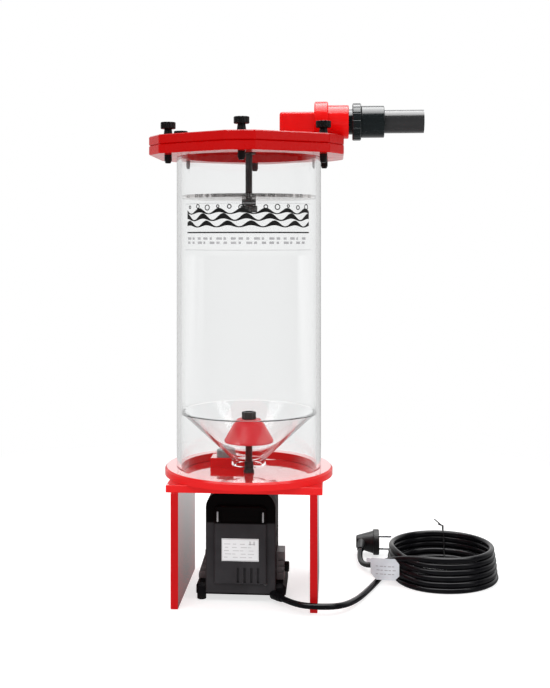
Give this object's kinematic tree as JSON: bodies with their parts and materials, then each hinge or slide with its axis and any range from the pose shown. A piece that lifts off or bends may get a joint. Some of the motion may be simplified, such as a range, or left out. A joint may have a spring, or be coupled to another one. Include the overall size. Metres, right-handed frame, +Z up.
{
  "type": "aquarium media reactor",
  "caption": "Clear tube media reactor on a red stand, with bolted hexagonal lid, funnel, cone deflector, side outlet union, pump under the stand and coiled mains lead.",
  "frame": {"origin": "on the floor under the tube's axis, in the plane of the pump's and stand's feet", "axes": "+Z up along the tube, +X towards the outlet pipe, -Y the pump's labelled front"},
  "size_m": [0.4838, 0.3408, 0.6769],
  "materials": {
    "red_pvc": "gloss",
    "lid_pvc": "gloss",
    "clear_acrylic": "clear gloss",
    "black_nylon": "satin",
    "grey_pvc": "semi-gloss",
    "pump_plastic": "satin",
    "seal_rubber": "matt",
    "silver_plate": "satin",
    "printed_band": "printed film",
    "core_steel": "laminated",
    "shaft_ceramic": "ground",
    "screw_steel": "satin",
    "cord_jacket": "gloss",
    "tag_paper": "matt film"
  },
  "bodies": {
    "reactor": {"stand_side_left": "red_pvc", "stand_side_right": "red_pvc", "stand_top_plate": "red_pvc", "base_ring": "red_pvc", "reactor_tube": "clear_acrylic", "top_flange": "lid_pvc", "flange_inserts": "black_nylon", "lid_seal": "seal_rubber", "funnel": "clear_acrylic", "deflector_rod": "black_nylon", "rod_boss": "black_nylon", "inlet_block": "red_pvc", "inlet_cap": "grey_pvc", "tube_label": "printed_band", "pump_housing": "pump_plastic", "pump_front_cover": "pump_plastic", "pump_label": "silver_plate", "pump_stator": "core_steel", "rotor_shaft": "shaft_ceramic", "pump_volute": "pump_plastic", "volute_seal": "seal_rubber", "volute_cover": "pump_plastic", "volute_screws": "screw_steel", "intake_strainer": "pump_plastic", "pump_base": "pump_plastic", "pump_feet": "seal_rubber", "side_brackets": "grey_pvc", "riser_pipe": "grey_pvc", "cord_gland": "cord_jacket", "cord_run": "cord_jacket", "cord_coil": "cord_jacket", "cord_lead": "cord_jacket", "cord_plug": "cord_jacket", "plug_pins": "screw_steel", "cord_tag": "tag_paper", "cord_tie": "cord_jacket"},
    "lid": {"lid_plate": "lid_pvc", "outlet_block": "red_pvc", "outlet_fitting": "red_pvc", "union_body": "grey_pvc", "union_seal": "seal_rubber", "hanger_rod": "black_nylon", "hanger_nuts": "black_nylon", "rod_end_knob": "black_nylon"},
    "strainer": {"strainer_disc": "clear_acrylic"},
    "outlet_tail": {"outlet_socket": "grey_pvc", "outlet_pipe": "grey_pvc"},
    "collar": {"union_collar": "grey_pvc"},
    "deflector": {"deflector_cone": "red_pvc", "deflector_nut": "black_nylon"},
    "rotor": {"rotor_magnet": "core_steel", "impeller": "pump_plastic"},
    "riser_nut": {"riser_union_nut": "grey_pvc"},
    "knob": {"side_knob": "black_nylon"},
    "thumb_1": {"thumb_screw_1": "black_nylon"},
    "thumb_2": {"thumb_screw_2": "black_nylon"},
    "thumb_3": {"thumb_screw_3": "black_nylon"},
    "thumb_4": {"thumb_screw_4": "black_nylon"},
    "thumb_5": {"thumb_screw_5": "black_nylon"},
    "thumb_6": {"thumb_screw_6": "black_nylon"}
  },
  "joints": [
    {"name": "lid_lift", "type": "slide", "parent": "reactor", "child": "lid", "axis": [0, 0, 1], "range_m": [0, 0.12]},
    {"name": "strainer_lift", "type": "slide", "parent": "lid", "child": "strainer", "axis": [0, 0, 1], "range_m": [0, 0.05]},
    {"name": "outlet_pull", "type": "slide", "parent": "lid", "child": "outlet_tail", "axis": [1, 0, 0], "range_m": [0, 0.04]},
    {"name": "collar_spin", "type": "hinge", "parent": "outlet_tail", "child": "collar", "pos_m": [0.149, 0, 0.6485], "axis": [1, 0, 0], "continuous": true},
    {"name": "deflector_height", "type": "slide", "parent": "reactor", "child": "deflector", "axis": [0, 0, 1], "range_m": [-0.003, 0.02]},
    {"name": "rotor_spin", "type": "hinge", "parent": "reactor", "child": "rotor", "pos_m": [-0.007, 0, 0.062], "axis": [0, 1, 0], "continuous": true},
    {"name": "riser_nut_spin", "type": "hinge", "parent": "reactor", "child": "riser_nut", "pos_m": [-0.038, 0.044, 0.11], "axis": [0, 0, 1], "continuous": true},
    {"name": "knob_spin", "type": "hinge", "parent": "reactor", "child": "knob", "pos_m": [0.0535, -0.014, 0.038], "axis": [1, 0, 0], "continuous": true},
    {"name": "thumb_1_spin", "type": "hinge", "parent": "lid", "child": "thumb_1", "pos_m": [0, -0.12, 0.62], "axis": [0, 0, 1], "continuous": true},
    {"name": "thumb_2_spin", "type": "hinge", "parent": "lid", "child": "thumb_2", "pos_m": [0.10392, -0.06, 0.62], "axis": [0, 0, 1], "continuous": true},
    {"name": "thumb_3_spin", "type": "hinge", "parent": "lid", "child": "thumb_3", "pos_m": [0.10392, 0.06, 0.62], "axis": [0, 0, 1], "continuous": true},
    {"name": "thumb_4_spin", "type": "hinge", "parent": "lid", "child": "thumb_4", "pos_m": [0, 0.12, 0.62], "axis": [0, 0, 1], "continuous": true},
    {"name": "thumb_5_spin", "type": "hinge", "parent": "lid", "child": "thumb_5", "pos_m": [-0.10392, 0.06, 0.62], "axis": [0, 0, 1], "continuous": true},
    {"name": "thumb_6_spin", "type": "hinge", "parent": "lid", "child": "thumb_6", "pos_m": [-0.10392, -0.06, 0.62], "axis": [0, 0, 1], "continuous": true}
  ]
}
